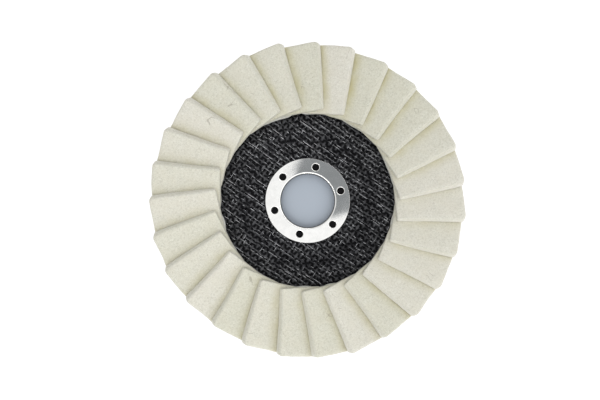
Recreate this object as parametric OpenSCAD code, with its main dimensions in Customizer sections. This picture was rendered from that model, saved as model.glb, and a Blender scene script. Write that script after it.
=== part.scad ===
// Felt polishing flap disc for an angle grinder. Millimetres, +Z towards the working face.
// The origin is the centre of the bore in the plane of the rear mounting face.

/* [Wheel] */
// Diameter across the outer raised corners of the flaps
wheel_d = 127.5; // [125:0.5:130]
// Number of felt flaps round the wheel
flap_count = 27; // [26:1:27]

/* [Felt flaps] */
// Width of one flap, from its low bonded edge to its raised free edge
flap_w = 17; // [16.6:0.1:17.6]
// Thickness of the felt at the rim, where it lies free
felt_t = 4; // [3.6:0.1:4.2]
// Thickness of the felt at the inner end, where its neighbours press it
felt_t_inner = 2.8; // [2.5:0.1:2.9]
// Lean of a flap away from the plate, in degrees
flap_lean = 21; // [21:0.5:24]
// Distance from the axis to a flap's inner end, along its centreline
flap_r_inner = 35.9; // [35.8:0.1:37.5]
// Rounding of a flap's outer corners
flap_corner_r = 1.8; // [1:0.1:2.5]
// Slant of a flap's inner end, whose low side reaches further in, in degrees
flap_inner_slant = 5.5; // [0:0.5:6]
// Rounding of a flap's long edges
flap_edge_r = 0.8; // [0.4:0.1:1.2]
// Gap between a flap's low edge at the rim and the plate
flap_lift = 0.4; // [0.3:0.1:0.5]

/* [Backing plate] */
// Diameter of the fibreglass plate
plate_d = 110; // [106:1:114]
// Thickness of one ply of resin-bonded glass cloth
ply_t = 0.6; // [0.5:0.05:0.7]
// Depth of the depressed centre
dish_h = 3.6; // [3:0.1:4.2]
// Diameter of the flat around the hub, where the slope starts
hub_flat_d = 45.2; // [43:0.2:47]
// Diameter at which the slope ends and the flat rim starts
rim_flat_d = 59; // [56:0.5:62]

/* [Adhesive] */
// Inner diameter of the adhesive bed under the flaps
bed_inner_d = 71.4; // [71:0.2:80]
// Outer diameter of the adhesive bed
bed_outer_d = 108; // [100:0.5:109]
// Height of the adhesive bed above the plate
bed_h = 1.8; // [1.5:0.1:2.2]

/* [Hub] */
// Diameter of the bore that fits over the grinder's locating collar
bore_d = 22.23; // [22.2:0.01:22.3]
// Thickness of the hub ring's sheet metal
sheet_t = 0.6; // [0.5:0.05:0.7]
// Outer diameter of the hub ring's flange
ring_d = 35.2; // [35:0.1:37]
// Radius of the rounded lead-in at the mouth of the bore
lead_in_r = 0.8; // [0.7:0.05:1]
// Outer diameter of the rear washer
washer_d = 34; // [32:0.5:36]
// Thickness of the rear washer
washer_t = 1; // [0.8:0.1:1.2]

/* [Pierced holes] */
// Number of holes pierced through the flange
pierce_count = 6; // [4:1:8]
// Diameter of a pierced hole
pierce_d = 3.1; // [2.6:0.1:3.4]
// Diameter of the circle that the holes lie on
pierce_circle_d = 28.7; // [28.6:0.1:29.2]
// Angle of the first hole from +X
pierce_start = 16.4; // [0:0.1:60]
// Depth of the dimple around each hole
dimple_h = 0.4; // [0.3:0.05:0.45]

/* [Hidden] */
// Facets of every circle in the preview; the shapes themselves are true circles
$fn = 96;
// How far a cutter runs past the faces that it cuts
eps = 0.01;

// Heights, from the rear mounting face up
hub_rear_z = washer_t;
hub_front_z = hub_rear_z + 4 * ply_t;
ring_front_z = hub_front_z + sheet_t;
rim_front_z = hub_front_z + dish_h;

// Radii of the collar that lines the bore, and the small gap that the plate leaves round it
bore_r = bore_d / 2;
collar_r = bore_r + sheet_t;
collar_gap = 0.05;

// Height of the flared end of the collar, which lies flush in the washer's countersink
flare_h = washer_t - 0.25;

// How far the lowest and highest points of a flap lie from its middle, and how far its raised
// top corner lies to the side of its centreline
flap_half_h = (flap_w * sin(flap_lean) + felt_t * cos(flap_lean)) / 2;
flap_mid_z = rim_front_z + flap_lift + flap_half_h;
raised_side = (flap_w * cos(flap_lean) - felt_t * sin(flap_lean)) / 2;
flap_r_outer = sqrt(pow(wheel_d / 2, 2) - pow(raised_side, 2));
flap_len = flap_r_outer - flap_r_inner;

// How far the slanted inner end reaches in past its middle
slant_reach = flap_w / 2 * tan(flap_inner_slant);

// The lip that a pierced hole leaves under the flange
lip_wall = 0.45;
lip_r = pierce_d / 2 + lip_wall;

// Steps along the slope of the depressed centre
dish_steps = 10;

FLAPS = [for (i = [1:flap_count]) str("flap_", i < 10 ? "0" : "", i)];
PLIES = ["rear_cloth", "core_ply_1", "core_ply_2", "front_cloth"];

// Height of the depressed centre's surface at radius r, 0 at the hub and dish_h at the rim
function dish_z(r) =
    let (r0 = hub_flat_d / 2, r1 = rim_flat_d / 2, t = min(1, max(0, (r - r0) / (r1 - r0))))
    dish_h * t * t * (3 - 2 * t);

// Points of the depressed centre's surface from the bore out to the plate's edge
function dish_line(z) =
    let (r0 = hub_flat_d / 2, r1 = rim_flat_d / 2)
    concat(
        [[collar_r + collar_gap, z]],
        [for (k = [0:dish_steps]) let (r = r0 + (r1 - r0) * k / dish_steps) [r, z + dish_z(r)]],
        [[plate_d / 2, z + dish_h]]
    );

function reversed(list) = [for (k = [len(list) - 1:-1:0]) list[k]];

// Quarter arc about a centre, from angle a0 to a1
function arc(centre, r, a0, a1, steps = 8) =
    [for (k = [0:steps]) let (a = a0 + (a1 - a0) * k / steps) centre + r * [cos(a), sin(a)]];

// Places its children at each pierced hole
module at_pierced_holes() {
    for (k = [0:pierce_count - 1])
        rotate([0, 0, pierce_start + 360 * k / pierce_count])
            translate([pierce_circle_d / 2, 0, 0])
                children();
}

// One ply of the laminate; k counts plies from the rear
module ply(k) {
    z = hub_rear_z + k * ply_t;
    rotate_extrude()
        polygon(concat(dish_line(z), reversed(dish_line(z + ply_t))));
}

module rear_cloth() {
    color("dimgray") ply(0);
}

module core_ply_1() {
    color("darkslategray") ply(1);
}

module core_ply_2() {
    color("darkslategray") ply(2);
}

// The top ply is pierced where the flange's lips bite into it
module front_cloth() {
    color("#26262a")
        difference() {
            ply(3);
            at_pierced_holes()
                translate([0, 0, hub_front_z - ply_t - eps])
                    cylinder(h = ply_t + 2 * eps, r = lip_r + collar_gap);
        }
}

// Half section of the flange, the collar and its flared end, as one bent sheet
module ring_section() {
    top_arc = arc([bore_r + lead_in_r, ring_front_z - lead_in_r], lead_in_r, 90, 180);
    flare_in = bore_r + flare_h;
    polygon(concat(
        [[ring_d / 2 - sheet_t / 4, ring_front_z]],
        top_arc,
        [[bore_r, flare_h], [flare_in, 0], [flare_in + sheet_t, 0]],
        [[collar_r, flare_h], [collar_r, hub_front_z]],
        [[ring_d / 2, hub_front_z], [ring_d / 2, ring_front_z - sheet_t / 4]]
    ));
}

// Cutter for one pierced hole, with a rounded dimple at its mouth
module pierced_hole() {
    mouth = arc([pierce_d / 2 + dimple_h, ring_front_z - dimple_h], dimple_h, 180, 90, 6);
    rotate_extrude()
        polygon(concat(
            [[0, hub_front_z - ply_t - eps], [pierce_d / 2, hub_front_z - ply_t - eps]],
            mouth,
            [[pierce_d / 2 + dimple_h, ring_front_z + eps], [0, ring_front_z + eps]]
        ));
}

module hub_ring() {
    color("gainsboro")
        difference() {
            union() {
                rotate_extrude() ring_section();
                at_pierced_holes()
                    translate([0, 0, hub_front_z - ply_t])
                        cylinder(h = ply_t + sheet_t / 2, r = lip_r);
            }
            at_pierced_holes() pierced_hole();
        }
}

// Flat washer with a countersink that the collar is flared into
module rear_washer() {
    flare_out = bore_r + flare_h + sheet_t + collar_gap;
    color("silver")
        rotate_extrude()
            polygon([
                [flare_out, 0],
                [washer_d / 2, 0],
                [washer_d / 2, washer_t],
                [collar_r + collar_gap, washer_t],
                [collar_r + collar_gap, flare_h]
            ]);
}

// Puts a flap's own frame on the wheel: X outwards, Z square to the leaning felt
module on_flap(i) {
    rotate([0, 0, 360 * (i - 1) / flap_count])
        translate([flap_r_inner, 0, flap_mid_z])
            rotate([-flap_lean, 0, 0])
                children();
}

// Rectangle of w by t about the origin with its corners rounded by r
module rounded_section(w, t, r) {
    square([w - 2 * r, t], center = true);
    square([w, t - 2 * r], center = true);
    for (sx = [-1, 1], sy = [-1, 1])
        translate([sx * (w / 2 - r), sy * (t / 2 - r)]) circle(r = r);
}

// Plan of a flap, outwards from the middle of its inner end at x = 0. Its low side is at +Y.
module flap_plan() {
    r = flap_corner_r;
    difference() {
        union() {
            translate([-slant_reach, -flap_w / 2]) square([slant_reach + flap_len - r, flap_w]);
            translate([0, r - flap_w / 2]) square([flap_len, flap_w - 2 * r]);
            for (s = [-1, 1])
                translate([flap_len - r, s * (flap_w / 2 - r)]) circle(r = r);
        }
        rotate([0, 0, flap_inner_slant])
            translate([-flap_w, -flap_w]) square([flap_w, 2 * flap_w]);
    }
}

// Thickness of the felt at x, which grows evenly from the inner end to the rim
function felt_at(x) = felt_t_inner + (felt_t - felt_t_inner) * x / flap_len;

// Side view of a flap: a flat working face, and an underside that rises towards the inner end
module flap_side() {
    polygon([
        [-slant_reach, felt_t / 2 - felt_at(-slant_reach)],
        [flap_len, -felt_t / 2],
        [flap_len, felt_t / 2],
        [-slant_reach, felt_t / 2]
    ]);
}

// One felt flap: the shape that its end section, its side view and its plan have in common
module flap(i) {
    color(i % 2 == 0 ? "ivory" : "beige")
        on_flap(i)
            intersection() {
                translate([-slant_reach, 0, 0])
                    rotate([90, 0, 90])
                        linear_extrude(height = slant_reach + flap_len)
                            rounded_section(flap_w, felt_t, flap_edge_r);
                translate([0, flap_w / 2, 0])
                    rotate([90, 0, 0])
                        linear_extrude(height = flap_w) flap_side();
                translate([0, 0, -felt_t / 2])
                    linear_extrude(height = felt_t) flap_plan();
            }
}

// Space that one flap takes out of the adhesive, square-edged so that the bed closes round it
module flap_slot(i) {
    on_flap(i)
        translate([0, flap_w / 2, 0])
            rotate([90, 0, 0])
                linear_extrude(height = flap_w) flap_side();
}

// Ring of adhesive under the flaps, with a slot for each flap's low edge
module adhesive_bed() {
    color("wheat")
        difference() {
            translate([0, 0, rim_front_z]) cylinder(h = bed_h, r = bed_outer_d / 2);
            translate([0, 0, rim_front_z - eps]) cylinder(h = bed_h + 2 * eps, r = bed_inner_d / 2);
            for (i = [1:flap_count]) flap_slot(i);
        }
}

hub_ring();
rear_washer();
rear_cloth();
core_ply_1();
core_ply_2();
front_cloth();
adhesive_bed();
for (i = [1:flap_count])
    flap(i);
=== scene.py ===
"""Looks of the felt flap polishing wheel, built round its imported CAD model.

Lengths are in millimetres and are turned into metres as each mesh is made. +Z points towards the
working face, and the origin is the bore's centre in the plane of the rear mounting face.
"""

import itertools
import math

import bmesh
import bpy
import numpy as np
from mathutils import Matrix, Vector


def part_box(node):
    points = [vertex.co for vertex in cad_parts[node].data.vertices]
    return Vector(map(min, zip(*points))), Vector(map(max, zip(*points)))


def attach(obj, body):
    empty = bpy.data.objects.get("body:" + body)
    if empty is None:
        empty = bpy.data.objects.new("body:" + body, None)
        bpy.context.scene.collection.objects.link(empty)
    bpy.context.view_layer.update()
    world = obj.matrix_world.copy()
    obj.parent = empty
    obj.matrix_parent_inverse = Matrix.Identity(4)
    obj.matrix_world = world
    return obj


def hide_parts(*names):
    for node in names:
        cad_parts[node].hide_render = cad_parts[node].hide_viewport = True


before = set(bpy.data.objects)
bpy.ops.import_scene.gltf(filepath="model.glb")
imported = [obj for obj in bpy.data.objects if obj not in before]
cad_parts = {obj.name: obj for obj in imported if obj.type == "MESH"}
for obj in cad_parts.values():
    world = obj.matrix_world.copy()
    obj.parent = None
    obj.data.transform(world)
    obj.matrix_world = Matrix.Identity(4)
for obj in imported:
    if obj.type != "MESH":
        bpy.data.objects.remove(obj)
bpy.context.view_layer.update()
MM = 0.001
BODY = "root"


# ---- sizes

def node_box(name):
    """Lowest and highest corner of a CAD node, in millimetres."""
    low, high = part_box(name)
    return low / MM, high / MM


ring_high = node_box("hub_ring")[1]
washer_high = node_box("rear_washer")[1]
rear_low = node_box("rear_cloth")[0]
front_low, front_high = node_box("front_cloth")
bed_low, bed_high = node_box("adhesive_bed")
flap_low, flap_high = node_box("flap_01")
FLAP_NODES = sorted(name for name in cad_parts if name.startswith("flap_"))

# The plate and its depressed centre
PLY_T = (front_low.z - rear_low.z) / 3
PLATE_R = front_high.x
HUB_REAR_Z = rear_low.z
HUB_FRONT_Z = HUB_REAR_Z + 4 * PLY_T
RIM_FRONT_Z = front_high.z
DISH_H = RIM_FRONT_Z - HUB_FRONT_Z
HUB_FLAT_R = 22.6         # the dished slope runs between these two radii
RIM_FLAT_R = 29.5

# The hub ring: flange, lead-in, collar and the holes pierced through it
RING_R = ring_high.x
RING_FRONT_Z = ring_high.z
SHEET_T = RING_FRONT_Z - HUB_FRONT_Z
BORE_R = 11.115
COLLAR_R = BORE_R + SHEET_T
LEAD_IN_R = 0.8
WASHER_R = washer_high.x
WASHER_T = washer_high.z
FLARE_H = 0.75
PIERCE_COUNT = 6
PIERCE_R = 1.46           # inside the rounding of the hole's mouth, DIMPLE_R
PIERCE_CIRCLE_R = 14.35
PIERCE_START = math.radians(16.4)
DIMPLE_R = 0.20
LIP_R = 2.0

# The felt flaps
FLAP_COUNT = len(FLAP_NODES)
FLAP_W = 17.0
FELT_T = 4.0
FELT_T_INNER = 2.8
FLAP_LEAN = math.radians(21)
FLAP_SLANT = math.radians(5.5)
FLAP_R_INNER = 35.9
FLAP_R_OUTER = flap_high.x
FLAP_LEN = FLAP_R_OUTER - FLAP_R_INNER
FLAP_MID_Z = (flap_low.z + flap_high.z) / 2


# ---- camera, light and floor

# The camera looks almost straight down. It aims a little left of the wheel's centre and stands
# a few degrees towards the lower right.
CAMERA_HEIGHT = 360.0
CAMERA_AIM = Vector((-3.17, 0.25, RING_FRONT_Z))
CAMERA_TILT = math.radians(3.0)
CAMERA_TILT_TOWARDS = math.radians(-50)
CAMERA_LENS = 51.3


def make_camera():
    data = bpy.data.cameras.new("camera")
    data.lens = CAMERA_LENS
    camera = bpy.data.objects.new("camera", data)
    bpy.context.scene.collection.objects.link(camera)
    sideways = CAMERA_HEIGHT * math.tan(CAMERA_TILT)
    place = Vector((
        CAMERA_AIM.x + sideways * math.cos(CAMERA_TILT_TOWARDS),
        CAMERA_AIM.y + sideways * math.sin(CAMERA_TILT_TOWARDS),
        CAMERA_HEIGHT,
    ))
    back = (place - CAMERA_AIM).normalized()
    right = Vector((0, 1, 0)).cross(back).normalized()
    turn = Matrix((right, back.cross(right), back)).transposed()
    camera.matrix_world = Matrix.LocRotScale(place * MM, turn.to_quaternion(), None)
    bpy.context.scene.camera = camera


def area_light(name, place, turn, size, radiance):
    """Soft rectangular light at place, in millimetres, that shines down its own -Z. turn is its
    Euler angles in degrees, and radiance is how bright its face looks."""
    data = bpy.data.lights.new(name, "AREA")
    data.shape = "RECTANGLE"
    data.size, data.size_y = size[0] * MM, size[1] * MM
    data.energy = radiance * math.pi * data.size * data.size_y
    light = bpy.data.objects.new(name, data)
    bpy.context.scene.collection.objects.link(light)
    light.location = Vector(place) * MM
    light.rotation_euler = [math.radians(angle) for angle in turn]


STRIP_TILT = 30.0         # how far the strip lights stand from overhead
STRIP_DISTANCE = 560.0
STRIP_AZIMUTH = -125.0
STRIP_SIZE = (35, 520)

# The dark round of the camera overhead, which shows in the hub ring: tangents of its direction
LENS_X = 0.0
LENS_Y = 0.064
LENS_SIZE = 0.043
LENS_SOFTNESS = 0.001
LENS_SHADE = 0.28         # the round's brightness beside the tent's
LENS_TINT = (0.91, 0.98, 1.05)
TENT_TINT = (0.97, 0.98, 1.0)
BRIGHT_SIDE = (0.60, -0.80, 0.0)


def make_world():
    """A pale tent, brighter towards the lower right, with a dark round where the camera hangs."""
    world = bpy.data.worlds.new("studio")
    bpy.context.scene.world = world
    world.use_nodes = True
    tree = world.node_tree
    direction = add_node(tree, "TexCoord").outputs["Generated"]
    height = add_node(tree, "SeparateXYZ", {0: direction}).outputs["Z"]
    # Brightest overhead, and a little brighter again close to the horizon
    tent = map_range(tree, height, 0.30, 0.85, 0.98, 1.30)
    tent = math_node(tree, "ADD", tent, map_range(tree, height, 0.10, 0.45, 0.15, 0.0))
    towards = add_node(tree, "VectorMath", {0: direction, 1: BRIGHT_SIDE},
                       operation="DOT_PRODUCT").outputs["Value"]
    tent = product(tree, tent, map_range(tree, towards, -0.9, 0.9, 0.45, 1.25))
    one_up = math_node(tree, "DIVIDE", 1.0, height)
    spread = add_node(tree, "VectorMath", {0: direction, "Scale": one_up},
                      operation="SCALE").outputs["Vector"]
    beside = add_node(tree, "VectorMath", {0: spread, 1: (LENS_X, LENS_Y, 1.0)},
                      operation="DISTANCE").outputs["Value"]
    lens = map_range(tree, beside, LENS_SIZE - LENS_SOFTNESS, LENS_SIZE + LENS_SOFTNESS,
                     LENS_SHADE, 1.0)
    background = tree.nodes["Background"]
    set_inputs(tree, background, {
        "Color": mix_colour(tree, lens, LENS_TINT, TENT_TINT),
        "Strength": product(tree, tent, lens),
    })


def make_lights():
    """Two strips that draw thin highlights along the yarns of the cloth."""
    for name, azimuth, radiance in (("strip_lower_left", STRIP_AZIMUTH, 6.0),
                                    ("strip_upper_right", STRIP_AZIMUTH + 180, 3.0)):
        across = STRIP_DISTANCE * math.sin(math.radians(STRIP_TILT))
        up = STRIP_DISTANCE * math.cos(math.radians(STRIP_TILT))
        a = math.radians(azimuth)
        area_light(name, (across * math.cos(a), across * math.sin(a), up),
                   (0, STRIP_TILT, azimuth), STRIP_SIZE, radiance)


# ---- mesh helpers

def lattice(cells, seed):
    """A fixed random value from -1 to 1 for each whole-numbered cell, from an integer hash."""
    h = cells[:, 0] * 73856093 ^ cells[:, 1] * 19349663 ^ cells[:, 2] * 83492791 ^ seed * 668265263
    h = (h ^ h >> 13) * 1274126177 & 0x7FFFFFFF
    h = (h ^ h >> 16) * 1103515245 & 0x7FFFFFFF
    return h / 0x3FFFFFFF - 1


def noise(points, size, seed):
    """Smooth noise from -1 to 1 at each point, whose lumps are about size across."""
    scaled = np.asarray(points, float) / size
    base = np.floor(scaled).astype(np.int64)
    t = scaled - base
    t = t * t * (3 - 2 * t)
    total = np.zeros(len(scaled))
    for corner in itertools.product((0, 1), repeat=3):
        weight = np.prod(np.where(corner, t, 1 - t), axis=1)
        total += weight * lattice(base + corner, seed)
    return total


def noise_vectors(points, size, seed):
    return np.stack([noise(points, size, seed + k) for k in range(3)], axis=1)


def smoothstep(t):
    t = np.clip(t, 0, 1)
    return t * t * (3 - 2 * t)


def radius_of(points):
    return np.hypot(points[:, 0], points[:, 1])


def widened(points, scale):
    """Points moved out from the axis, each by its own factor."""
    return points * np.stack([scale, scale, np.ones_like(scale)], axis=1)


def finish_piece(name, mesh, material, replaces=()):
    """A smooth-shaded piece of that mesh, which rides on the wheel's body."""
    mesh.shade_smooth()
    mesh.materials.append(material)
    piece = bpy.data.objects.new(name, mesh)
    bpy.context.scene.collection.objects.link(piece)
    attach(piece, BODY)
    if replaces:
        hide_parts(*replaces)
    return piece


def new_piece(name, points, faces, material, replaces=()):
    mesh = bpy.data.meshes.new(name)
    faces = faces.tolist() if isinstance(faces, np.ndarray) else faces
    mesh.from_pydata((points * MM).tolist(), [], faces)
    return finish_piece(name, mesh, material, replaces)


def set_attribute(piece, name, values):
    layer = piece.data.attributes.new(name, "FLOAT", "POINT")
    layer.data.foreach_set("value", np.asarray(values, np.float32))


def box_shell(nx, ny, nz):
    """Closed surface of a block of nx by ny by nz cells: its points' cell corners and its quads."""
    shape = (nx + 1, ny + 1, nz + 1)
    i, j, k = np.indices(shape)
    outside = (i == 0) | (i == nx) | (j == 0) | (j == ny) | (k == 0) | (k == nz)
    index = np.full(shape, -1)
    index[outside] = np.arange(outside.sum())

    def quads(sheet, flip):
        made = np.stack([sheet[:-1, :-1], sheet[1:, :-1], sheet[1:, 1:], sheet[:-1, 1:]], axis=-1)
        made = made.reshape(-1, 4)
        return made[:, ::-1] if flip else made

    faces = [
        quads(index[:, :, nz], False), quads(index[:, :, 0], True),
        quads(index[:, 0, :], False), quads(index[:, ny, :], True),
        quads(index[0, :, :], True), quads(index[nx, :, :], False),
    ]
    return np.stack([i[outside], j[outside], k[outside]], axis=1), np.concatenate(faces)


def loft(loops, close_ends=True):
    """Skin over a list of closed loops with the same number of points in each."""
    rings, count = len(loops), len(loops[0])
    points = np.concatenate(loops)
    a = np.arange(count)
    b = (a + 1) % count
    faces = [np.stack([a + k * count, b + k * count, b + (k + 1) * count, a + (k + 1) * count], 1)
             for k in range(rings - 1)]
    faces = np.concatenate(faces).tolist()
    if close_ends:
        faces.append(a[::-1].tolist())
        faces.append((a + (rings - 1) * count).tolist())
    return points, faces


def join_patches(parts):
    """Joins patches that meet point to point into one set of points and faces."""
    points, faces, made = [], [], 0
    for part_points, part_faces in parts:
        points.append(part_points)
        faces += [[made + int(v) for v in face] for face in part_faces]
        made += len(part_points)
    return np.concatenate(points), faces


def polar(r, angle, z):
    """Points at those radii, angles and heights."""
    return np.stack([r * np.cos(angle), r * np.sin(angle), z + 0 * r * angle], axis=-1)


def revolve(profile, segments):
    """Closed profile of (r, z) points turned about the axis."""
    r, z = np.asarray(profile, float).T
    angle = 2 * math.pi * np.arange(segments) / segments
    index = np.arange(segments * len(r)).reshape(segments, len(r))
    ahead = np.roll(index, -1, axis=0)
    faces = np.stack([index, ahead, np.roll(ahead, -1, axis=1), np.roll(index, -1, axis=1)], -1)
    return polar(r, angle[:, None], z).reshape(-1, 3), faces.reshape(-1, 4)


# ---- materials

def set_inputs(tree, node, inputs):
    """Gives a node's inputs their values, or links them to the outputs of other nodes."""
    for key, value in inputs.items():
        if isinstance(value, bpy.types.NodeSocket):
            tree.links.new(value, node.inputs[key])
        else:
            node.inputs[key].default_value = value


def add_node(tree, kind, inputs=(), **settings):
    """A shader node with those settings and inputs."""
    node = tree.nodes.new("ShaderNode" + kind)
    for key, value in settings.items():
        setattr(node, key, value)
    set_inputs(tree, node, dict(inputs))
    return node


def new_material(name):
    """A material, its tree, its Principled shader, and the position in millimetres."""
    material = bpy.data.materials.new(name)
    material.use_nodes = True
    tree = material.node_tree
    shader = tree.nodes["Principled BSDF"]
    where = add_node(tree, "TexCoord").outputs["Object"]
    scaled = add_node(tree, "VectorMath", {0: where, "Scale": 1 / MM}, operation="SCALE")
    return material, tree, shader, scaled.outputs["Vector"]


def noise_node(tree, where, scale, detail=2.0, roughness=0.5, distortion=0.0):
    return add_node(tree, "TexNoise", {
        "Vector": where, "Scale": scale, "Detail": detail, "Roughness": roughness,
        "Distortion": distortion,
    }).outputs["Fac"]


def ramp(tree, value, stops):
    """Colour ramp through (position, (r, g, b)) stops."""
    node = add_node(tree, "ValToRGB", {"Fac": value})
    elements = node.color_ramp.elements
    while len(elements) < len(stops):
        elements.new(0.5)
    for element, (position, colour) in zip(elements, stops):
        element.position = position
        element.color = (*colour, 1)
    return node.outputs["Color"]


def attribute(tree, name):
    return add_node(tree, "Attribute", attribute_name=name).outputs["Fac"]


def math_node(tree, operation, a, b=0.0):
    return add_node(tree, "Math", {0: a, 1: b}, operation=operation).outputs["Value"]


def product(tree, first, *others):
    for other in others:
        first = math_node(tree, "MULTIPLY", first, other)
    return first


def map_range(tree, value, from_low, from_high, to_low, to_high):
    return add_node(tree, "MapRange", {
        "Value": value, "From Min": from_low, "From Max": from_high,
        "To Min": to_low, "To Max": to_high,
    }).outputs["Result"]


def mix_colour(tree, share, a, b):
    a, b = ((*value, 1) if isinstance(value, tuple) else value for value in (a, b))
    node = add_node(tree, "Mix", {"Factor": share, 6: a, 7: b}, data_type="RGBA")
    return node.outputs[2]


def bump(tree, shader, height, distance, strength=1.0):
    node = add_node(tree, "Bump", {
        "Height": height, "Distance": distance * MM, "Strength": strength})
    tree.links.new(node.outputs["Normal"], shader.inputs["Normal"])


FELT_WORN = (0.72, 0.68, 0.54)
FELT_TONES = (0.65, 0.645, 0.51), (0.84, 0.80, 0.735)
# olive of the painted shade in the creases
FELT_CREASE_SHADE = (0.54, 0.495, 0.27)
# the free edge's wall, painted lighter (fresh cut felt and painted light), and the painted shade
# along the corner above it
FELT_CUT_LIT = (0.90, 0.885, 0.82)
FELT_EDGE_SHADE = (0.50, 0.49, 0.43)
SPECK_COLOUR = (0.16, 0.11, 0.06)
HAIR_COLOUR = (0.24, 0.20, 0.13)


def felt_material():
    """Pressed wool: ivory, with fine fibres, faint blotches and a few dark specks. An olive painted
    shade darkens the felt where a flap goes in under the next one. The wall along the free edge is
    painted lighter, partly fresh felt and partly painted light, and the rounded corner above it is
    painted darker, as shade."""
    material, tree, shader, where = new_material("wool_felt")
    fibres = noise_node(tree, where, 1.5, detail=6, roughness=0.80, distortion=0.8)
    blotches = noise_node(tree, where, 0.20, detail=3, roughness=0.6)
    colour = ramp(tree, fibres, [
        (0.30, (0.400, 0.380, 0.280)), (0.50, (0.700, 0.682, 0.575)), (0.70, (0.880, 0.868, 0.780)),
    ])
    blotched = map_range(tree, blotches, 0.35, 0.65, 0.0, 0.35)
    colour = mix_colour(tree, blotched, colour, FELT_WORN)
    tone = map_range(tree, attribute(tree, "tone"), -1, 1, 0.0, 1.0)
    colour = mix_colour(tree, 0.28, colour, mix_colour(tree, tone, *FELT_TONES))
    # Painted shade: olive darkening where a flap goes in under the next one, mottled by the
    # blotches
    crease_shade_share = product(tree, attribute(tree, "crease_shade"), map_range(tree, blotches, 0.3, 0.7, 0.6, 1.4))
    colour = mix_colour(tree, crease_shade_share, colour, FELT_CREASE_SHADE)
    # Painted light and shade: the free edge's wall lighter, partly fresh cut felt; the rounded
    # corner above it darker
    wall_light_edge_shade = attribute(tree, "wall_light_edge_shade")
    colour = mix_colour(tree, map_range(tree, wall_light_edge_shade, 0, 1, 0, 0.30), colour, FELT_CUT_LIT)
    colour = mix_colour(tree, map_range(tree, wall_light_edge_shade, -1, 0, 0.22, 0), colour, FELT_EDGE_SHADE)
    specks = add_node(tree, "TexVoronoi", {"Vector": where, "Scale": 0.42}, feature="F1")
    near = math_node(tree, "LESS_THAN", specks.outputs["Distance"], 0.05)
    cell = add_node(tree, "SeparateColor", {"Color": specks.outputs["Color"]}).outputs[0]
    chosen = math_node(tree, "GREATER_THAN", cell, 0.95)
    colour = mix_colour(tree, product(tree, near, chosen), colour, SPECK_COLOUR)
    # Stray dark hairs: short stretches of the curves along which a smooth noise is at its middle
    middle = math_node(tree, "SUBTRACT", noise_node(tree, where, 0.22, detail=0.0), 0.5)
    hair = math_node(tree, "LESS_THAN", math_node(tree, "ABSOLUTE", middle), 0.007)
    here = math_node(tree, "GREATER_THAN", noise_node(tree, where, 0.16, detail=0.0), 0.72)
    colour = mix_colour(tree, product(tree, hair, here, 0.40), colour, HAIR_COLOUR)
    set_inputs(tree, shader, {
        "Base Color": colour, "Roughness": 0.95, "Specular IOR Level": 0.2,
        "Sheen Weight": 0.2, "Sheen Roughness": 0.6,
    })
    bump(tree, shader, fibres, 0.45, 0.9)
    return material


SHADING = ("across", "along", "wear_and_top_light", "painted_glint")    # what the cloth's shader reads of a yarn


def cloth_material():
    """Glass yarns soaked in black resin, which has worn thin on the crowns. Glints are painted
    there as bright colour, more on some yarns than on others, and the yarns' tops and
    over-crossings are painted lighter, partly wear and partly painted light."""
    material, tree, shader, where = new_material("resin_glass_cloth")
    grain = noise_node(tree, where, 3.0, detail=4, roughness=0.65)
    values = {name: attribute(tree, name) for name in SHADING}
    thread = add_node(tree, "CombineXYZ", {
        "X": product(tree, values["across"], 2.0), "Y": product(tree, values["along"], 0.8),
    }).outputs["Vector"]
    filaments = noise_node(tree, thread, 1.0, detail=4, roughness=0.7)
    # Partly wear, partly painted light: darker in the windows and down the yarns' sides, lighter on
    # their tops and over-crossings
    wear_and_top_light = map_range(tree, values["wear_and_top_light"], -0.1, 1.0, 0.0, 1.0)
    streak = map_range(tree, filaments, 0.40, 0.62, 0.0, 1.0)
    colour = mix_colour(tree, wear_and_top_light, (0.0015, 0.0015, 0.002), (0.048, 0.049, 0.054))
    colour = mix_colour(tree, map_range(tree, grain, 0.35, 0.65, 0.0, 0.75),
                        colour, (0.004, 0.004, 0.005))
    # Painted glints: bright colour on the worn crowns where the glint value is high
    painted_glint_share = product(tree, wear_and_top_light, streak, values["painted_glint"])
    set_inputs(tree, shader, {
        "Base Color": mix_colour(tree, painted_glint_share, colour, (0.70, 0.71, 0.73)),
        "Roughness": map_range(tree, grain, 0.3, 0.7, 0.20, 0.45),
        "Specular IOR Level": map_range(tree, values["wear_and_top_light"], 0.0, 1.0, 0.03, 0.50),
    })
    relief = math_node(tree, "ADD", filaments, product(tree, grain, 0.4))
    bump(tree, shader, relief, 0.06, 0.7)
    return material


def resin_material():
    """Black resin between and under the yarns: near black, dull, with dust-sized pits."""
    material, tree, shader, where = new_material("black_resin")
    cloud = noise_node(tree, where, 1.2, detail=5, roughness=0.7)
    colour = ramp(tree, cloud, [
        (0.35, (0.002, 0.002, 0.0025)), (0.60, (0.005, 0.005, 0.006)),
        (0.78, (0.020, 0.020, 0.022)),
    ])
    set_inputs(tree, shader, {
        "Base Color": colour, "Roughness": map_range(tree, cloud, 0.3, 0.7, 0.35, 0.6),
        "Specular IOR Level": 0.08,
    })
    bump(tree, shader, cloud, 0.10, 0.7)
    return material


def laminate_material():
    """Cut edge of the laminate: dull black resin with grey ends of glass fibre."""
    material, tree, shader, where = new_material("laminate_edge")
    stretched = add_node(tree, "VectorMath", {0: where, 1: (1.0, 1.0, 6.0)}, operation="MULTIPLY")
    fibres = noise_node(tree, stretched.outputs["Vector"], 2.2, detail=5, roughness=0.7)
    colour = ramp(tree, fibres, [
        (0.40, (0.010, 0.010, 0.010)), (0.62, (0.030, 0.029, 0.027)), (0.78, (0.16, 0.15, 0.13)),
    ])
    set_inputs(tree, shader, {
        "Base Color": colour, "Roughness": map_range(tree, fibres, 0.3, 0.7, 0.55, 0.85),
    })
    bump(tree, shader, fibres, 0.12, 0.8)
    return material


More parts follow.
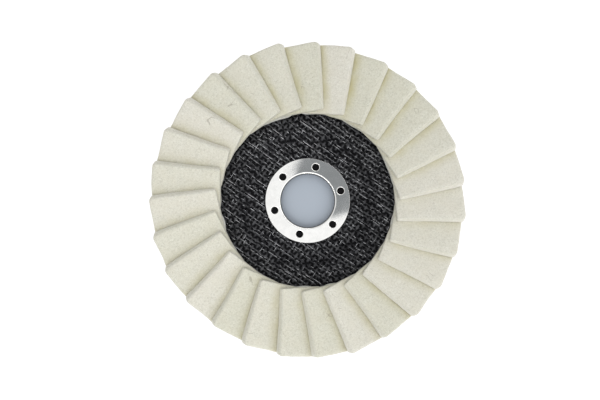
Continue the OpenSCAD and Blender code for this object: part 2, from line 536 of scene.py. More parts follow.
BORE_SHADE_SHARE = 0.93         # of the dark painted shade on the steel down the bore
BORE_SHADE_BLEND = 0.06         # half the height over which the bright steel gives way to it
BORE_SHADE_COLOUR = (0.05, 0.05, 0.05)


def metal_material(name, colour, rough_low, rough_high, painted_shade_below=None):
    """Pressed sheet steel: smooth plating with a fine rolled grain. Below the height that the last
    argument gives, it is painted dark, as shade down the bore."""
    material, tree, shader, where = new_material(name)
    rolled = add_node(tree, "VectorMath", {0: where, 1: (0.25, 3.0, 1.0)}, operation="MULTIPLY")
    grain = noise_node(tree, rolled.outputs["Vector"], 2.0, detail=5, roughness=0.7)
    cloud = noise_node(tree, where, 0.35, detail=4, roughness=0.6)
    tint = mix_colour(tree, map_range(tree, cloud, 0.38, 0.62, 0, 1),
                      colour, tuple(0.94 * c for c in colour))
    # Painted shade: the steel is darkened low down the bore
    if painted_shade_below is not None:
        height = add_node(tree, "SeparateXYZ", {0: where}).outputs["Z"]
        bore_shade = map_range(tree, height, painted_shade_below - BORE_SHADE_BLEND, painted_shade_below + BORE_SHADE_BLEND,
                         BORE_SHADE_SHARE, 0.0)
        tint = mix_colour(tree, bore_shade, tint, BORE_SHADE_COLOUR)
    set_inputs(tree, shader, {
        "Base Color": tint, "Metallic": 1.0,
        "Roughness": map_range(tree, grain, 0.3, 0.7, rough_low, rough_high),
    })
    bump(tree, shader, grain, 0.002, 0.4)
    return material


def adhesive_material():
    """Set adhesive: cloudy cream, with felt fluff and trapped bubbles."""
    material, tree, shader, where = new_material("set_adhesive")
    cloud = noise_node(tree, where, 0.8, detail=5, roughness=0.65)
    colour = ramp(tree, cloud, [
        (0.32, (0.52, 0.51, 0.45)), (0.52, (0.68, 0.675, 0.61)), (0.72, (0.76, 0.755, 0.70)),
    ])
    set_inputs(tree, shader, {
        "Base Color": colour, "Roughness": map_range(tree, cloud, 0.3, 0.7, 0.40, 0.65),
    })
    bubbles = add_node(tree, "TexVoronoi", {"Vector": where, "Scale": 1.3}, feature="F1")
    pits = math_node(tree, "MINIMUM", bubbles.outputs["Distance"], 0.2)
    bump(tree, shader, pits, 0.15, 0.6)
    return material


FLOOR_GLOW = 0.97         # just under white, so that the wheel's outline stays clean
FLOOR_SHADE_R = 25.0       # radii between which the floor starts to glow
FLOOR_GLOW_R = 60.0


def floor_material():
    """A white light table, with pale blue-grey shade painted under the wheel, where no light comes
    up.
    """
    material, tree, shader, where = new_material("pale_floor")
    across = add_node(tree, "VectorMath", {0: where}, operation="LENGTH").outputs["Value"]
    outside = map_range(tree, across, FLOOR_SHADE_R, FLOOR_GLOW_R, 0.0, 1.0)
    # Painted shade: pale blue-grey under the wheel, which shows through the bore
    colour = mix_colour(tree, outside, (0.415, 0.46, 0.515), (0.10, 0.10, 0.10))
    set_inputs(tree, shader, {
        "Base Color": colour, "Roughness": 0.7,
        "Emission Strength": product(tree, outside, FLOOR_GLOW), "Emission Color": (1, 1, 1, 1),
    })
    return material


# ---- felt flaps

FLAP_CELL = 0.42          # size of a flap's mesh cells
FLAP_EDGE_R = 1.0         # rounding of the felt's upper edges at the rim, and of its lower edges
FLAP_LOWER_EDGE_R = 0.35
FLAP_INNER_EDGE = 0.45    # the upper edges' rounding at the inner end, beside that at the rim
FLAP_END_LEN = 7.0        # how far out the inner end's own look reaches
FLAP_EDGE_STEPS = 6
FLAP_CORNER_R = 1.8       # rounding of the two outer corners, seen from above
FLAP_INNER_CORNER_R = 0.8
FLAP_WALL_CELLS = 6
FLAP_SHIFT = 0.2          # how far round the flaps are laid, and further at their inner ends
FLAP_SHEAR = 0.6
FREE_CORNER_REACH = 0.6   # how much further in the free inner corner reaches, which dies away
FREE_CORNER_LEN = 5.0     # over about this length
FREE_EDGE_DROOP = 0.85    # share of the gap to the neighbour that the free edge sinks
FREE_EDGE_PLUMP = 0.18    # how far the felt swells beside it
OUTER_SKEW = 0.032        # the outer end's slope across the flap, and how short it is cut
OUTER_TRIM = 0.12
FELT_LUMPS = ((0.16, 7.0), (0.05, 1.6), (0.035, 0.7))    # height and size of its unevenness
RIM_RUNOUT = 0.32         # how far the felt's rim runs out of true, and towards where
RIM_RUNOUT_AT = math.radians(110)
RIM_REACH = 0.25          # how far the rim stands out on average
CREASE_SHADE_WIDTH = 5.5          # how far the olive painted shade reaches out from under the next flap
CREASE_SHADE_AT_END = 0.35        # its share at the flaps' inner ends
SHADE_STRONGEST_AT = math.radians(85)    # where round the wheel the painted shade is strongest
CREASE_SHADE_LEAST = 0.15
CREASE_SHADE_THERE = 0.42        # what it has more there, and on the far side of the wheel
CREASE_SHADE_OPPOSITE = 0.20


def edge_spaced(length, radius):
    """Positions from 0 to length, even in the middle and closer over the rounded edges."""
    angles = np.linspace(0, math.pi / 2, FLAP_EDGE_STEPS + 1)
    edge = radius * (1 - np.cos(angles))
    cells = round((length - 2 * radius) / FLAP_CELL)
    middle = np.linspace(radius, length - radius, cells + 1)[1:-1]
    return np.concatenate([edge, middle, length - edge[::-1]])


def round_corner(x, y, centre_x, centre_y, radius):
    """Pulls the square corner beyond a centre in to a circle about it."""
    dx, dy = (x - centre_x) / radius, (y - centre_y) / radius
    sx = 1 if np.median(x) < centre_x else -1
    sy = 1 if centre_y > 0 else -1
    inside = (sx * dx > 0) & (sy * dy > 0)
    long = np.maximum(abs(dx), abs(dy))
    scale = np.where(inside, long / np.maximum(np.hypot(dx, dy), 1e-9), 1)
    return (np.where(inside, centre_x + dx * scale * radius, x),
            np.where(inside, centre_y + dy * scale * radius, y))


def flap_pitch(x):
    """Distance round the wheel from one flap to the next, x out from their inner ends."""
    return 2 * math.pi * (FLAP_R_INNER + x) / FLAP_COUNT


def felt_thickness(x):
    return FELT_T_INNER + (FELT_T - FELT_T_INNER) * x / FLAP_LEN


def felt_gap(x):
    """Room between a flap's underside and the neighbour that it lies over, at x."""
    return flap_pitch(x) * math.sin(FLAP_LEAN) - felt_thickness(x)


def edge_drop(depth, radius):
    """How far a rounded edge has fallen at that depth in from the side."""
    inward = np.clip(radius - depth, 0, radius)
    return radius - np.sqrt(radius ** 2 - inward ** 2)


def contact_line(x):
    """Where the next flap's raised edge touches this one's face, across the flap."""
    return (flap_pitch(x) / math.cos(FLAP_LEAN) - FLAP_W / 2
            - felt_thickness(x) * math.tan(FLAP_LEAN))


def flap_points(corners, xs, ys, rng, seed):
    """Shapes the block's corners into one soft felt flap in its own frame: X outwards, the raised
    free edge at -Y, Z square to the leaning felt."""
    i, j, k = corners.T
    x, y = xs[i], ys[j] - FLAP_W / 2
    depth = np.minimum.reduce([x, FLAP_LEN - x, y + FLAP_W / 2, FLAP_W / 2 - y])
    share = x / FLAP_LEN
    side = 2 * y / FLAP_W
    top = FELT_T / 2
    bottom = top - FELT_T_INNER - (FELT_T - FELT_T_INNER) * share
    upper_r = FLAP_EDGE_R * (FLAP_INNER_EDGE + (1 - FLAP_INNER_EDGE) * smoothstep(x / FLAP_END_LEN))
    level = k / FLAP_WALL_CELLS
    wall = (bottom + FLAP_LOWER_EDGE_R) + (top - upper_r - bottom - FLAP_LOWER_EDGE_R) * level
    z = np.where(k == FLAP_WALL_CELLS, top - edge_drop(depth, upper_r),
                 np.where(k == 0, bottom + edge_drop(depth, FLAP_LOWER_EDGE_R), wall))

    for sign in (-1, 1):
        x, y = round_corner(x, y, FLAP_LEN - FLAP_CORNER_R, sign * (FLAP_W / 2 - FLAP_CORNER_R),
                            FLAP_CORNER_R)
        x, y = round_corner(x, y, FLAP_INNER_CORNER_R, sign * (FLAP_W / 2 - FLAP_INNER_CORNER_R),
                            FLAP_INNER_CORNER_R)
    x = x - y * math.tan(FLAP_SLANT) * (1 - share) - (OUTER_SKEW * y + OUTER_TRIM) * share
    x = x - FREE_CORNER_REACH * (0.5 - y / FLAP_W) * np.exp(-np.clip(x, 0, None) / FREE_CORNER_LEN)
    y = y - FLAP_SHIFT - FLAP_SHEAR * (1 - share)

    # The free edge bends down towards the neighbour, and the felt is a little plump beside it
    free = np.clip((1 - side) / 2, 0, 1)
    z = z - FREE_EDGE_DROOP * np.clip(felt_gap(x), 0, None) * free ** 3
    swell = FREE_EDGE_PLUMP * np.sin(math.pi * free)
    z = z + swell * (k == FLAP_WALL_CELLS) * smoothstep(depth / 2)
    # Each flap is cut and laid a little differently
    y = y + rng.uniform(-0.35, 0.35) * (share - share ** 2) * 4
    x = x * (1 + rng.uniform(-0.35, 0.35) / FLAP_LEN) + rng.uniform(-0.25, 0.25) * share * side
    points = np.stack([x, y, z], axis=1)
    soft = np.where(k == 0, 0.3, 1.0)[:, None]    # the underside is smoother
    for step, (lump, size) in enumerate(FELT_LUMPS):
        points = points + soft * lump * noise_vectors(points, size, seed + 10 * step)
    return points


def wall_light_and_edge_shade(corners, flat_y):
    """1 on the clean sheared wall along the free edge, painted lighter: partly fresh felt, partly
    painted light. -1 on the painted shade along the rounded corner above it, else 0.
    """
    wall = (corners[:, 1] == 0) & (corners[:, 2] > 0) & (corners[:, 2] < FLAP_WALL_CELLS)
    depth = flat_y + FLAP_W / 2
    edge_shade = (corners[:, 2] == FLAP_WALL_CELLS) * (1 - smoothstep(abs(depth - 0.45) / 0.55))
    return np.where(wall, 1.0, -edge_shade)


def turned(points, axis, angle):
    c, s = math.cos(angle), math.sin(angle)
    a, b = [(1, 2), (2, 0), (0, 1)][axis]
    made = points.copy()
    made[:, a] = c * points[:, a] - s * points[:, b]
    made[:, b] = s * points[:, a] + c * points[:, b]
    return made


FELT_BASE_R = 36.15       # radius that the felt's inner ends are squeezed to at the plate
FELT_BASE_TOP = 10.6      # height at which the squeezed ends stand clear again
FELT_BASE_DEPTH = 2.6


def border_wander(flat):
    """How far out of round the felt's and the adhesive's inner border runs: chords with blunt
    corners that point outwards."""
    chords = 1.7 * (0.36 - abs(noise(flat, 9.0, 72)))
    return chords + 0.5 * noise(flat, 22.0, 75) + 0.06 * noise(flat, 2.0, 73)


def squeezed_base(points, end_r):
    """Pulls a flap's inner end, near the plate, in to the circle that all of them share. end_r is
    the flap's own end radius at each point."""
    r = radius_of(points)
    target = FELT_BASE_R + border_wander(points * (1, 1, 0))
    low = 1 - smoothstep((points[:, 2] - RIM_FRONT_Z - 0.5) / (FELT_BASE_TOP - RIM_FRONT_Z - 0.5))
    end = 1 - smoothstep((r - end_r) / FELT_BASE_DEPTH)
    scale = 1 - low * end * np.clip(end_r - target, -0.5, 2) / r
    return widened(points, scale)


def make_flaps(material):
    xs, ys = edge_spaced(FLAP_LEN, FLAP_EDGE_R), edge_spaced(FLAP_W, FLAP_EDGE_R)
    corners, faces = box_shell(len(xs) - 1, len(ys) - 1, FLAP_WALL_CELLS)
    flat_x, flat_y = xs[corners[:, 0]], ys[corners[:, 1]] - FLAP_W / 2
    rng = np.random.default_rng(27)
    for index, node in enumerate(FLAP_NODES):
        angle = 2 * math.pi * index / FLAP_COUNT
        points = flap_points(corners, xs, ys, rng, seed=100 * index + 1)
        runout = RIM_REACH + RIM_RUNOUT * math.cos(angle - RIM_RUNOUT_AT)
        points[:, 0] += runout * points[:, 0] / FLAP_LEN
        points = turned(points, 2, math.radians(rng.uniform(-0.5, 0.5)))
        points = turned(points, 0, -FLAP_LEAN + math.radians(rng.uniform(-0.3, 0.3)))
        points = points + (FLAP_R_INNER, 0, FLAP_MID_Z)
        end_x = FLAP_R_INNER - points[:, 1] * math.tan(FLAP_SLANT)
        points = squeezed_base(turned(points, 2, angle), np.hypot(end_x, points[:, 1]))
        piece = new_piece(node.replace("flap", "felt"), points, faces, material, [node])
        set_attribute(piece, "tone", np.full(len(points), rng.uniform(-1, 1)))
        # Painted shade in the crease under the next flap, stronger on one side of the wheel
        facing = math.cos(angle - SHADE_STRONGEST_AT)
        shade_strength = CREASE_SHADE_LEAST + CREASE_SHADE_THERE * max(facing, 0) + CREASE_SHADE_OPPOSITE * max(-facing, 0)
        shade_strength *= rng.uniform(0.6, 1.4)
        near_contact = smoothstep(1 + (flat_y - contact_line(flat_x)) / CREASE_SHADE_WIDTH)
        end = CREASE_SHADE_AT_END + (1 - CREASE_SHADE_AT_END) * smoothstep((flat_x - 1) / FLAP_END_LEN)
        set_attribute(piece, "crease_shade", shade_strength * near_contact ** 1.5 * end)
        set_attribute(piece, "wall_light_edge_shade", wall_light_and_edge_shade(corners, flat_y))


# ---- glass cloth plate

YARN_PITCH = 1.72         # spacing of the yarns both ways
YARN_HALF_W = 0.40
YARN_HALF_T = 0.13
WEAVE_RISE = 0.13         # how far a yarn rises and falls over the ones that it crosses
WARP_SHARE = 0.7          # the warp is pulled tighter and narrower than the weft
YARN_STEP = 0.40
CLOTH_ANGLE = math.radians(-35)
PAIR_SHIFT = 0.17         # the warp yarns lie in pairs
THREAD_SHIFT = 37.0       # sets the filaments of one yarn apart from the next one's
WARP_GLINT_PAINT = 0.6          # strength of the glints painted on the two sets of yarns
WEFT_GLINT_PAINT = 0.2
WARP_SUNK = 0.15          # how deep the resin covers their crowns
WEFT_SUNK = 0.35
CROSSING_WEAR = 0.28      # how unevenly the crowns are worn: by crossing, and along the yarn
LENGTH_WEAR = 0.20
WAVE_WEAR_AND_LIGHT = 0.35         # what the weave and the yarn's roundness add to the crown value: partly wear, partly painted light on the yarn's top
ROUND_TOP_LIGHT = 0.85
BARE_LENGTHS = 0.6, 2.2   # of the bare fibres
BARE_RADII = 0.05, 0.12
LONG_SHARE = 0.3          # share of the warp's bare fibres that are three times as long


def dish_height(r):
    return DISH_H * smoothstep((r - HUB_FLAT_R) / (RIM_FLAT_R - HUB_FLAT_R))


def dish_slope(r):
    t = np.clip((r - HUB_FLAT_R) / (RIM_FLAT_R - HUB_FLAT_R), 0, 1)
    return DISH_H * 6 * t * (1 - t) / (RIM_FLAT_R - HUB_FLAT_R)


MAX_SLOPE = DISH_H * 1.5 / (RIM_FLAT_R - HUB_FLAT_R)


def on_plate(x, y, height, face):
    """Point and outward normal at a height over the plate's front (face 1) or rear (face -1)."""
    r = np.hypot(x, y)
    base = HUB_FRONT_Z if face > 0 else HUB_REAR_Z
    slope = dish_slope(r)
    normal = np.stack([-slope * x / r, -slope * y / r, np.ones_like(r)], axis=1)
    normal *= face / np.linalg.norm(normal, axis=1)[:, None]
    foot = np.stack([x, y, base + dish_height(r)], axis=1)
    return foot + normal * height[:, None], normal


def laid_cloth(x, y, seed):
    """Moves points of the flat cloth as it lies on the plate, a little out of square."""
    flat = np.stack([x, y, np.zeros_like(x)], axis=1)
    shift = 0.55 * noise_vectors(flat, 24.0, seed) + 0.10 * noise_vectors(flat, 5.0, seed + 5)
    return x + shift[:, 0], y + shift[:, 1]


def yarn_runs(offset, r_in, r_out):
    """Stretches of a straight yarn at that offset from the axis which lie between the two radii."""
    if abs(offset) >= r_out:
        return []
    far = math.sqrt(r_out ** 2 - offset ** 2)
    if abs(offset) >= r_in:
        return [(-far, far)]
    near = math.sqrt(r_in ** 2 - offset ** 2)
    return [(-far, -near), (near, far)]


def tube_on_plate(s, offset, height, angle, half_w, half_t, sides, face, seed):
    """Loops of a flattened tube along a straight line of the cloth, at that height from the plate's
    face, and its middle line. s is the place along the line."""
    cloth_x = s * math.cos(angle) - offset * math.sin(angle)
    cloth_y = s * math.sin(angle) + offset * math.cos(angle)
    x, y = laid_cloth(cloth_x, cloth_y, seed)
    centre, normal = on_plate(x, y, height, face)
    tangent = np.gradient(centre, axis=0)
    tangent /= np.linalg.norm(tangent, axis=1)[:, None]
    across = np.cross(normal, tangent)
    across /= np.linalg.norm(across, axis=1)[:, None]
    up = np.cross(tangent, across)
    around = 2 * math.pi * (np.arange(sides) + 0.5) / sides
    loops = (centre[:, None]
             + across[:, None] * half_w[:, None, None] * np.cos(around)[None, :, None]
             + up[:, None] * half_t[:, None, None] * np.sin(around)[None, :, None])
    return loops, centre


def laid_seed(level):
    """Seed of the shift that all the yarns of one cloth share."""
    return abs(int(level * 1000)) + 3


def yarn_offset(j, set_sign):
    return (j + 0.5) * YARN_PITCH + (PAIR_SHIFT * (-1) ** j if set_sign > 0 else 0)


def yarn_wave(s, j, set_sign):
    """1 where a yarn passes over the other set, -1 where it passes under."""
    return np.sin(math.pi * s / YARN_PITCH) * (-1) ** j * set_sign


def slope_glint_shade(centre):
    """Painted shade on the painted glints: the yarns on the dished slope glint less than the ones
    on the flat.
    """
    return 1 - 0.5 * dish_slope(radius_of(centre)) / MAX_SLOPE


def joined_yarns(parts, shading):
    return (*join_patches(parts), np.concatenate(shading, axis=1))


def yarns(angle, set_sign, r_in, r_out, face, level, sides, seed):
    """Points, faces and rows of shading values of one set of parallel yarns, woven with the set
    at right angles to it. level is the height of the cloth's middle from the plate's face."""
    rng = np.random.default_rng(seed)
    parts, shading = [], []
    reach = int(r_out / YARN_PITCH) + 1
    around = 2 * math.pi * (np.arange(sides) + 0.5) / sides
    for j in range(-reach, reach):
        offset = yarn_offset(j, set_sign)
        tight = WARP_SHARE if set_sign > 0 else 1 / WARP_SHARE
        width = YARN_HALF_W * tight ** 0.5 * rng.uniform(0.85, 1.15)
        # strength of this yarn's painted glints
        yarn_glint_paint = (WEFT_GLINT_PAINT if set_sign < 0 else WARP_GLINT_PAINT) * rng.uniform(0.1, 1.0)
        for start, stop in yarn_runs(offset, r_in, r_out):
            count = max(2, round((stop - start) / YARN_STEP))
            s = np.linspace(start, stop, count + 1)
            wave = yarn_wave(s, j, set_sign)
            loops, centre = tube_on_plate(
                s, offset, level + WEAVE_RISE * tight * wave, angle, width * (1 + 0.12 * wave),
                np.full(len(s), YARN_HALF_T), sides, face, laid_seed(level))
            parts.append(loft(list(loops)))
            patches = 0.5 + 0.9 * noise(centre, 5.0, seed + 7) + 0.5 * noise(centre, 1.5, seed + 8)
            painted_glint = yarn_glint_paint * np.clip(patches, 0, 1) * slope_glint_shade(centre)
            # Each crossing has been wetted and worn a little differently
            same = np.ones(len(s))
            cells = np.stack([np.floor(s / YARN_PITCH), same * j, same * seed], 1)
            uneven = (CROSSING_WEAR * lattice(cells.astype(np.int64), 9)
                      + LENGTH_WEAR * noise(centre, 4.0, seed + 9))
            # The yarn's upper side is painted lighter than its sides, as painted light
            lit = WAVE_WEAR_AND_LIGHT * tight * wave + uneven - (WARP_SUNK if set_sign > 0 else WEFT_SUNK)
            shading.append(np.stack([
                np.tile(np.cos(around), len(s)), np.repeat(s + THREAD_SHIFT * j, sides),
                (lit[:, None] + ROUND_TOP_LIGHT * np.sin(around)).ravel(), np.repeat(painted_glint, sides),
            ]))
    return joined_yarns(parts, shading)


def bare_fibres(angle, set_sign, r_in, r_out, level, spacing, seed):
    """The same for the broken glass fibres that lie bare along the edges of one set of yarns on the
    front, one to every spacing of yarn. Their bright colour is a painted glint."""
    rng = np.random.default_rng(seed)
    parts, shading = [], []
    sides = 4
    reach = int(r_out / YARN_PITCH) + 1
    for j in range(-reach, reach):
        offset = yarn_offset(j, set_sign)
        for start, stop in yarn_runs(offset, r_in, r_out):
            at = start + rng.exponential(spacing)
            while at < stop - 0.5:
                run = 3 if rng.random() < LONG_SHARE and set_sign > 0 else 1
                length = min(rng.uniform(*BARE_LENGTHS) * run, stop - at)
                s = np.linspace(at, at + length, max(3, round(length / 0.3)) + 1)
                wave = yarn_wave(s, j, set_sign)
                beside = rng.choice((-1, 1)) * rng.uniform(0.5, 0.95) * YARN_HALF_W
                share = np.linspace(0, 1, len(s))
                radius = rng.uniform(*BARE_RADII) * (0.35 + 0.65 * np.sin(math.pi * share) ** 0.5)
                height = level + 0.15 * WEAVE_RISE * wave + WEAVE_RISE + 0.08
                drift = 0.06 * (share - 0.5)
                loops, centre = tube_on_plate(s, offset + beside + drift, height, angle,
                                              radius, radius, sides, 1, laid_seed(level))
                parts.append(loft(list(loops)))
                # strength of this fibre's painted glint
                painted_glint = rng.uniform(0.8, 3.5) * slope_glint_shade(centre)
                shading.append(np.stack([
                    np.full(len(s) * sides, beside), np.repeat(s + THREAD_SHIFT * j, sides),
                    np.ones(len(s) * sides), np.repeat(painted_glint, sides),
                ]))
                at += length + rng.exponential(spacing)
    return joined_yarns(parts, shading)


def woven_piece(name, material, sets, depth=0.0):
    """One piece from several sets of yarns. depth, from 0 to 1, darkens a lower ply's yarns and
    weakens their painted glints, as painted shade.
    """
    points, faces = join_patches((p, f) for p, f, _ in sets)
    piece = new_piece(name, points, faces, material)
    across, along, wear_and_top_light, painted_glint = np.concatenate([rows for _, _, rows in sets], axis=1)
    for key, values in zip(SHADING, (across, along, wear_and_top_light - depth, painted_glint * (1 - depth))):
        set_attribute(piece, key, values)


RESIN_LEVEL = -0.50       # the resin's surface between the yarns, from the plate's face
CLOTH_LEVEL = -0.26
UNDER_LEVEL = -0.56
FRONT_CLOTH_R = 40.0      # the front weave runs in under the felt and the adhesive
FRONT_SEEN_R = 35.9       # and is seen out to here
RING_COVER_R = 16.5
RIM_RAGGED = 0.14         # how ragged the plies' cut rim is, and how uneven their faces are
PLY_UNEVEN = 0.03


def ply_profile(lower, upper):
    """Section of a ply from the bore to the rim. lower and upper are its heights at the hub."""
    radii = np.concatenate([
        [COLLAR_R + 0.05, 14, 17, 20], np.linspace(HUB_FLAT_R, RIM_FLAT_R, 15),
        np.linspace(31, PLATE_R - 0.15, 40), [PLATE_R],
    ])
    rise = dish_height(radii)
    top = np.stack([radii, upper + rise], axis=1)
    low = np.stack([radii, lower + rise], axis=1)
    top[-1, 1] -= 0.12
    low[-1, 1] += 0.12
    return np.concatenate([low, top[::-1]])


def make_ply(name, node, lower, upper, material, seed):
    points, faces = revolve(ply_profile(lower, upper), 360)
    r = radius_of(points)
    rim = smoothstep((r - PLATE_R + 2) / 2)
    points = widened(points, 1 + rim * RIM_RAGGED * noise(points, 0.9, seed) / r)
    points[:, 2] += PLY_UNEVEN * noise(points, 1.3, seed + 1)
    return new_piece(name, points, faces, material, [node])


def make_plate(cloth, resin, laminate):
    z = [HUB_REAR_Z + k * PLY_T for k in range(5)]
    make_ply("rear_resin", "rear_cloth", z[0] - RESIN_LEVEL, z[1], resin, 41)
    make_ply("core_1", "core_ply_1", z[1], z[2], laminate, 42)
    make_ply("core_2", "core_ply_2", z[2], z[3], laminate, 43)
    make_ply("front_resin", "front_cloth", z[3], z[4] + RESIN_LEVEL, resin, 44)
    right = math.pi / 2
    turn = math.radians(9)    # between the plies' directions
    seen = RING_R + 0.3, FRONT_SEEN_R - 0.8
    woven_piece("front_weave", cloth, [
        yarns(CLOTH_ANGLE, 1, RING_COVER_R, FRONT_CLOTH_R, 1, CLOTH_LEVEL, 8, 51),
        yarns(CLOTH_ANGLE + right, -1, RING_COVER_R, FRONT_CLOTH_R, 1, CLOTH_LEVEL, 8, 52),
        bare_fibres(CLOTH_ANGLE, 1, *seen, CLOTH_LEVEL, 1.6, 61),
        bare_fibres(CLOTH_ANGLE + right, -1, *seen, CLOTH_LEVEL, 22.0, 62),
    ])
    # The lower ply is darkened by depth, as painted shade
    woven_piece("front_weave_below", cloth, [
        yarns(CLOTH_ANGLE + turn, 1, RING_COVER_R, FRONT_CLOTH_R, 1, UNDER_LEVEL, 6, 53),
        yarns(CLOTH_ANGLE + turn + right, -1, RING_COVER_R, FRONT_CLOTH_R, 1, UNDER_LEVEL, 6, 54),
    ], depth=0.65)
    rear_r = PLATE_R - 0.3
    for name, angle, sign in (("rear_warp", 0, 1), ("rear_weft", right, -1)):
        woven_piece(name, cloth, [
            yarns(CLOTH_ANGLE - turn + angle, sign, RING_COVER_R, rear_r, -1, CLOTH_LEVEL, 6,
                  55 + sign),
        ])


# ---- hub ring and washer

def arc(centre_r, centre_z, radius, start, stop, steps):
    """Points of an arc in the (r, z) section, with its angles in degrees."""
    angles = np.radians(np.linspace(start, stop, steps + 1))
    return [(centre_r + radius * math.cos(a), centre_z + radius * math.sin(a)) for a in angles]


FLANGE_IN_R = BORE_R + LEAD_IN_R
FLANGE_OUT_R = RING_R - 0.05
SECTOR_STEPS = 24         # mesh steps round each hole's 30 degree sector, and each plain one
RADIAL_STEPS = 10
HALF_SECTOR = math.pi / (2 * PIERCE_COUNT)
FLANGE_WAVE = 0.004       # how far the flange's face is out of flat
LIP_DEPTH = 0.8           # how far the holes' lips reach into the first ply
TORN_BY = 0.06            # how ragged their lower edges are


def flange_radii():
    """Radii of the flange's mesh, with a narrow step beside each edge that keeps its face flat."""
    inner = np.linspace(FLANGE_IN_R + 0.04, FLANGE_OUT_R - 0.04, RADIAL_STEPS - 1)
    return np.concatenate([[FLANGE_IN_R], inner, [FLANGE_OUT_R]])


def sector_outline(angle, z):
    """Closed loop round the flange's sector about that angle, at height z."""
    sweep = np.linspace(-HALF_SECTOR, HALF_SECTOR, SECTOR_STEPS + 1)[:-1] + angle
    radii = flange_radii()[:-1]
    back = np.linspace(HALF_SECTOR, -HALF_SECTOR, SECTOR_STEPS + 1)[:-1] + angle
    inwards = flange_radii()[:0:-1]
    return np.concatenate([
        polar(FLANGE_IN_R, sweep, z), polar(radii, angle + HALF_SECTOR, z),
        polar(FLANGE_OUT_R, back, z), polar(inwards, angle - HALF_SECTOR, z),
    ])


def hole_patch(angle, seed):
    """The flange about one pierced hole: its face, the dimple and lip, and its underside."""
    centre = np.array([PIERCE_CIRCLE_R * math.cos(angle), PIERCE_CIRCLE_R * math.sin(angle), 0])
    face = sector_outline(angle, RING_FRONT_Z)
    under = sector_outline(angle, HUB_FRONT_Z)
    spoke = face - centre
    bearing = np.arctan2(spoke[:, 1], spoke[:, 0])

    def circle(radius, z):
        return centre + polar(radius, bearing, z)

    dimple = circle(PIERCE_R + DIMPLE_R + 0.06, RING_FRONT_Z)
    loops = [face + (dimple - face) * t for t in (0, 0.02, 0.2, 0.4, 0.6, 0.8, 0.98, 1)]
    # A shallow dent leads into the rounded mouth
    loops.append(circle(PIERCE_R + DIMPLE_R + 0.02, RING_FRONT_Z - 0.01))
    for a in np.radians(np.linspace(80, 0, 7)):    # the mouth's rounding
        loops.append(circle(PIERCE_R + DIMPLE_R * (1 - math.cos(a)),
                            RING_FRONT_Z - DIMPLE_R * (1 - math.sin(a)) - 0.02))
    torn = TORN_BY * noise(circle(PIERCE_R, 0), 0.8, seed)
    foot = HUB_FRONT_Z - PLY_T * LIP_DEPTH
    for wider, lower in ((0, 0), (0.08, 0.06), (0.2, -0.1)):
        loops.append(circle(PIERCE_R + wider, foot + torn - lower))
    lip = circle(LIP_R, HUB_FRONT_Z)
    loops += [lip + (under - lip) * t for t in np.linspace(0, 1, 5)]
    return loft(loops, close_ends=False)


def plain_patch(angle, z, down):
    """A plain sector of the flange: its face, or its underside where down is true."""
    sweep = np.linspace(-HALF_SECTOR, HALF_SECTOR, SECTOR_STEPS + 1) + angle
    points = polar(flange_radii(), sweep[:, None], z)
    index = np.arange(points.size // 3).reshape(points.shape[:2])
    faces = np.stack([index[:-1, :-1], index[:-1, 1:], index[1:, 1:], index[1:, :-1]], -1)
    faces = faces.reshape(-1, 4)
    return points.reshape(-1, 3), faces[:, ::-1] if down else faces


def open_revolve(profile, angles):
    """Open profile of (r, z) points turned through the angles, all the way round."""
    r, z = np.asarray(profile, float).T[..., None]
    return loft(list(polar(r, angles, z)), close_ends=False)


def ring_parts():
    step = 2 * math.pi / PIERCE_COUNT
    for k in range(PIERCE_COUNT):
        angle = PIERCE_START + k * step
        yield hole_patch(angle, 80 + k)
        yield plain_patch(angle + step / 2, RING_FRONT_Z, down=False)
        yield plain_patch(angle + step / 2, HUB_FRONT_Z, down=True)
    turns = 2 * SECTOR_STEPS
    angles = PIERCE_START - step / 4 + np.arange(turns * PIERCE_COUNT) * step / turns
    flare_in = BORE_R + FLARE_H
    flare_out = flare_in + SHEET_T
    # From the lead-in down the bore, round the flared end and up the collar's back
    yield open_revolve(
        arc(FLANGE_IN_R, RING_FRONT_Z - LEAD_IN_R, LEAD_IN_R, 90, 180, 12)
        + [(BORE_R, z) for z in (2.6, 2.0, 1.4)]
        + arc(BORE_R + 0.25, FLARE_H + 0.1, 0.25, 180, 225, 3)
        + [(flare_in, 0.02), (flare_in + 0.08, 0.0), (flare_out - 0.08, 0.0), (flare_out, 0.04)]
        + [(COLLAR_R + 0.05, FLARE_H - 0.02), (COLLAR_R, FLARE_H + 0.1), (COLLAR_R, 2.0)]
        + [(COLLAR_R, HUB_FRONT_Z - 0.1), (FLANGE_IN_R, HUB_FRONT_Z)], angles)
    edge = RING_R - FLANGE_OUT_R
    yield open_revolve(
        [(FLANGE_OUT_R, HUB_FRONT_Z), (RING_R - 0.02, HUB_FRONT_Z), (RING_R, HUB_FRONT_Z + 0.04)]
        + arc(FLANGE_OUT_R, RING_FRONT_Z - edge, edge, 0, 90, 6), angles)


def make_hub_ring(material):
    points, faces = join_patches(ring_parts())
    flat = smoothstep((radius_of(points) - FLANGE_IN_R) / 1.5)
    flat *= points[:, 2] > HUB_FRONT_Z - 0.05
    points[:, 2] += FLANGE_WAVE * flat * noise(points * (1, 1, 0), 6.0, 91)
    mesh = bpy.data.meshes.new("hub_ring_stamped")
    mesh.from_pydata((points * MM).tolist(), [], faces)
    work = bmesh.new()
    work.from_mesh(mesh)
    bmesh.ops.remove_doubles(work, verts=work.verts, dist=0.002 * MM)
    bmesh.ops.recalc_face_normals(work, faces=work.faces)
    work.to_mesh(mesh)
    work.free()
    finish_piece("hub_ring_stamped", mesh, material, ["hub_ring"])


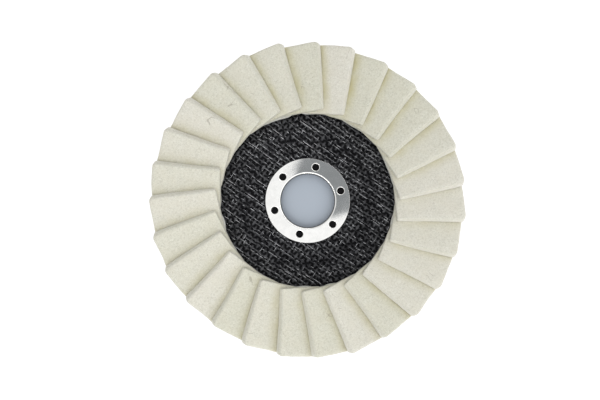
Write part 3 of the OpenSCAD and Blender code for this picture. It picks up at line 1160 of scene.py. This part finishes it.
def make_washer(material):
    inner = BORE_R + FLARE_H + SHEET_T + 0.05
    profile = (
        [(inner, 0.03), (inner + 0.06, 0.0), (14.0, 0.0)]
        + arc(WASHER_R - 0.22, 0.22, 0.22, -90, 0, 5)
        + arc(WASHER_R - 0.10, WASHER_T - 0.10, 0.10, 0, 90, 3)
        + [(14.0, WASHER_T), (COLLAR_R + 0.06, WASHER_T), (COLLAR_R + 0.06, FLARE_H)]
    )
    points, faces = revolve(profile, 288)
    new_piece("washer_stamped", points, faces, material, ["rear_washer"])


# ---- adhesive

ADHESIVE_R_INNER = 35.9
ADHESIVE_LUMP = 0.3


def make_adhesive(material):
    """A lumpy ring of set adhesive that the flaps' low edges stand in."""
    inner, outer = ADHESIVE_R_INNER, bed_high.x
    low, high = bed_low.z, bed_high.z
    bead, width = high - low, outer - inner
    section = (
        [(inner + 0.1, low), (inner, low + 0.25 * bead)]
        + arc(inner + 0.55, high - 0.60, 0.55, 180, 90, 5)
        + [(inner + width * t, high - 0.05 - 0.25 * t) for t in np.linspace(0.08, 0.94, 30)]
        + arc(outer - 0.6, low + 0.75, 0.6, 80, 0, 5)
        + [(outer - 0.1, low)]
    )
    points, faces = revolve(section[::-1], 540)
    r = radius_of(points)
    top = points[:, 2] > low + 0.02
    points[:, 2] += top * smoothstep((r - inner) / 2) * ADHESIVE_LUMP * noise(points, 2.5, 71)
    wander = border_wander(points * (1, 1, 0)) + 0.04 * noise(points, 0.8, 74)
    edges = 1 - smoothstep((r - inner) / 3) + smoothstep((r - outer + 2) / 2)
    points = widened(points, 1 + wander * edges / r)
    points[:, 2] = np.clip(points[:, 2], low, high)
    new_piece("adhesive", points, faces, material, ["adhesive_bed"])


# ---- build

def make_floor(material):
    bpy.ops.mesh.primitive_grid_add(size=4.0, location=(0, 0, -0.00005))
    floor = bpy.context.object
    floor.name = "floor"
    floor.data.materials.append(material)


bpy.context.scene.view_settings.view_transform = "Standard"
make_camera()
make_world()
make_lights()
make_floor(floor_material())
felt = felt_material()
cloth = cloth_material()
make_flaps(felt)
make_plate(cloth, resin_material(), laminate_material())
make_adhesive(adhesive_material())
make_hub_ring(metal_material("plated_steel", (0.91, 0.90, 0.865), 0.02, 0.05,
                             painted_shade_below=RING_FRONT_Z - 0.17))
make_washer(metal_material("washer_steel", (0.74, 0.74, 0.73), 0.25, 0.4))
